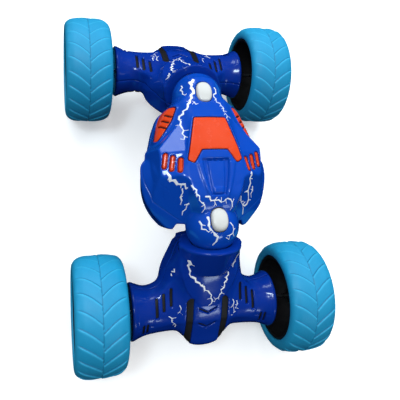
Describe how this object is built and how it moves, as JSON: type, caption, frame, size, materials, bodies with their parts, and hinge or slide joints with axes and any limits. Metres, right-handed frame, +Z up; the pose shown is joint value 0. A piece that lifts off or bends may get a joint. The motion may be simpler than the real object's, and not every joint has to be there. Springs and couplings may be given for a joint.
{
  "type": "rc stunt car",
  "caption": "Tall-stance remote control stunt car: a blue pod between two twisting drive modules on fat cyan tread tyres.",
  "frame": {"origin": "on the floor under the middle of the car, in its tall stance", "axes": "+X to the right along the axles, -Y the front, +Z up"},
  "size_m": [0.221, 0.331, 0.1445],
  "materials": {
    "blue_plastic": "glossy moulded plastic",
    "module_blue": "glossy moulded plastic, deeper blue",
    "orange_plastic": "glossy",
    "pearl_lens": "pearl",
    "black_plastic": "satin",
    "rim_black": "satin",
    "tyre_cyan": "soft matt rubber",
    "steel": "plated",
    "motor_steel": "plated can",
    "brass": "sintered",
    "nylon": "natural nylon",
    "circuit_green": "solder mask",
    "battery_sleeve": "shrink sleeve"
  },
  "bodies": {
    "pod": {"upper_shell": "blue_plastic", "lower_shell": "blue_plastic", "battery_door": "blue_plastic", "hood_window": "orange_plastic", "side_window_left": "orange_plastic", "side_window_right": "orange_plastic", "vent_insert_left": "orange_plastic", "vent_insert_right": "orange_plastic", "front_lamp_lens": "pearl_lens", "rear_lamp_lens": "pearl_lens", "switch_body": "black_plastic", "body_screws": "steel", "battery_door_screw": "steel", "circuit_board": "circuit_green", "lamp_leds": "circuit_green", "battery_pack": "battery_sleeve", "twist_bushes": "nylon", "front_twist_motor": "motor_steel", "rear_twist_motor": "motor_steel"},
    "front_module": {"front_housing_upper": "module_blue", "front_housing_lower": "module_blue", "front_slot_inlays": "black_plastic", "front_drive_motors": "motor_steel", "front_axle_bushes": "brass", "front_housing_screws": "steel", "front_spigot": "nylon", "front_twist_gear": "nylon"},
    "front_twist_pinion": {"front_twist_pinion": "nylon"},
    "front_left_wheel": {"front_left_tyre": "tyre_cyan", "front_left_rim": "rim_black", "front_left_axle": "steel", "front_left_drive_gear": "nylon"},
    "front_left_motor_pinion": {"front_left_motor_pinion": "nylon"},
    "front_right_wheel": {"front_right_tyre": "tyre_cyan", "front_right_rim": "rim_black", "front_right_axle": "steel", "front_right_drive_gear": "nylon"},
    "front_right_motor_pinion": {"front_right_motor_pinion": "nylon"},
    "rear_module": {"rear_housing_upper": "module_blue", "rear_housing_lower": "module_blue", "rear_slot_inlays": "black_plastic", "rear_drive_motors": "motor_steel", "rear_axle_bushes": "brass", "rear_housing_screws": "steel", "rear_spigot": "nylon", "rear_twist_gear": "nylon"},
    "rear_twist_pinion": {"rear_twist_pinion": "nylon"},
    "rear_left_wheel": {"rear_left_tyre": "tyre_cyan", "rear_left_rim": "rim_black", "rear_left_axle": "steel", "rear_left_drive_gear": "nylon"},
    "rear_left_motor_pinion": {"rear_left_motor_pinion": "nylon"},
    "rear_right_wheel": {"rear_right_tyre": "tyre_cyan", "rear_right_rim": "rim_black", "rear_right_axle": "steel", "rear_right_drive_gear": "nylon"},
    "rear_right_motor_pinion": {"rear_right_motor_pinion": "nylon"},
    "switch_knob": {"switch_knob": "black_plastic"}
  },
  "joints": [
    {"name": "front_twist", "type": "hinge", "parent": "pod", "child": "front_module", "pos_m": [0, -0.057, 0.112], "axis": [0, -0.9336, -0.3584], "range_deg": [0, 180]},
    {"name": "front_twist_pinion_spin", "type": "hinge", "parent": "pod", "child": "front_twist_pinion", "pos_m": [-0.01429, -0.0335, 0.11218], "axis": [0, -0.9336, -0.3584], "range_deg": [-481, 1]},
    {"name": "front_left_wheel_spin", "type": "hinge", "parent": "front_module", "child": "front_left_wheel", "pos_m": [-0.0895, -0.1155, 0.05], "axis": [1, 0, 0], "continuous": true},
    {"name": "front_left_pinion_spin", "type": "hinge", "parent": "front_module", "child": "front_left_motor_pinion", "pos_m": [-0.0275, -0.0995, 0.0625], "axis": [1, 0, 0], "continuous": true},
    {"name": "front_right_wheel_spin", "type": "hinge", "parent": "front_module", "child": "front_right_wheel", "pos_m": [0.0895, -0.1155, 0.05], "axis": [1, 0, 0], "continuous": true},
    {"name": "front_right_pinion_spin", "type": "hinge", "parent": "front_module", "child": "front_right_motor_pinion", "pos_m": [0.0275, -0.0995, 0.0625], "axis": [1, 0, 0], "continuous": true},
    {"name": "rear_twist", "type": "hinge", "parent": "pod", "child": "rear_module", "pos_m": [0, 0.057, 0.112], "axis": [0, 0.9336, -0.3584], "range_deg": [0, 180]},
    {"name": "rear_twist_pinion_spin", "type": "hinge", "parent": "pod", "child": "rear_twist_pinion", "pos_m": [0.01429, 0.0335, 0.11218], "axis": [0, 0.9336, -0.3584], "range_deg": [-481, 1]},
    {"name": "rear_left_wheel_spin", "type": "hinge", "parent": "rear_module", "child": "rear_left_wheel", "pos_m": [-0.0895, 0.1155, 0.05], "axis": [1, 0, 0], "continuous": true},
    {"name": "rear_left_pinion_spin", "type": "hinge", "parent": "rear_module", "child": "rear_left_motor_pinion", "pos_m": [-0.0275, 0.0995, 0.0625], "axis": [1, 0, 0], "continuous": true},
    {"name": "rear_right_wheel_spin", "type": "hinge", "parent": "rear_module", "child": "rear_right_wheel", "pos_m": [0.0895, 0.1155, 0.05], "axis": [1, 0, 0], "continuous": true},
    {"name": "rear_right_pinion_spin", "type": "hinge", "parent": "rear_module", "child": "rear_right_motor_pinion", "pos_m": [0.0275, 0.0995, 0.0625], "axis": [1, 0, 0], "continuous": true},
    {"name": "switch_slide", "type": "slide", "parent": "pod", "child": "switch_knob", "axis": [1, 0, 0], "range_m": [0, 0.004]}
  ],
  "couplings": [
    {"joint": "front_twist_pinion_spin", "follows": "front_twist", "ratio": -2.6667},
    {"joint": "front_left_pinion_spin", "follows": "front_left_wheel_spin", "ratio": -3.8333},
    {"joint": "front_right_pinion_spin", "follows": "front_right_wheel_spin", "ratio": -3.8333},
    {"joint": "rear_twist_pinion_spin", "follows": "rear_twist", "ratio": -2.6667},
    {"joint": "rear_left_pinion_spin", "follows": "rear_left_wheel_spin", "ratio": -3.8333},
    {"joint": "rear_right_pinion_spin", "follows": "rear_right_wheel_spin", "ratio": -3.8333}
  ]
}
